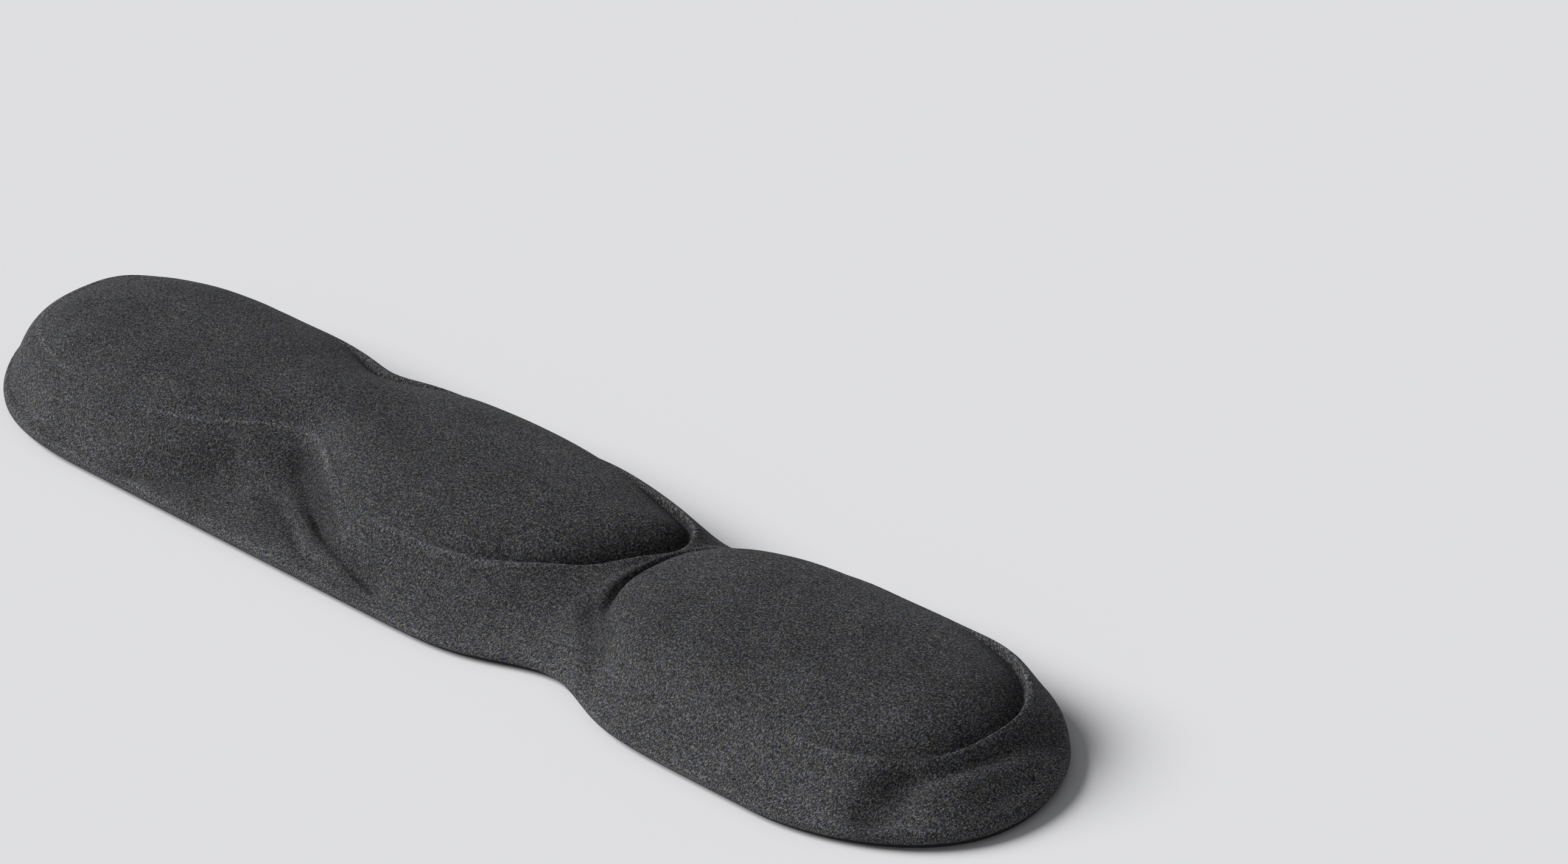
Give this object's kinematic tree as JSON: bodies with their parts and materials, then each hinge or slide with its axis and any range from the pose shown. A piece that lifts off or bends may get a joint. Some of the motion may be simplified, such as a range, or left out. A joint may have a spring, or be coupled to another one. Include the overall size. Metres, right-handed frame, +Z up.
{
  "type": "keyboard wrist rest",
  "caption": "Low foam wrist rest for a full-size keyboard: a long waisted cushion and a separate oval one under a stretch-knit cover, on a non-slip rubber sheet.",
  "frame": {"origin": "centre of the underside", "axes": "+X along the length towards the oval cushion, +Y towards the keyboard, +Z up"},
  "size_m": [0.4486, 0.083, 0.0215],
  "materials": {
    "knit": "fine satin stretch knit",
    "foam": "open-cell foam",
    "cushion_foam": "soft memory foam",
    "film": "thin adhesive film",
    "rubber": "matt, finely textured"
  },
  "bodies": {
    "root": {"knit_cover": "knit", "foam_body": "foam", "long_cushion": "cushion_foam", "oval_cushion": "cushion_foam", "adhesive_film": "film", "non_slip_sheet": "rubber"}
  },
  "joints": []
}
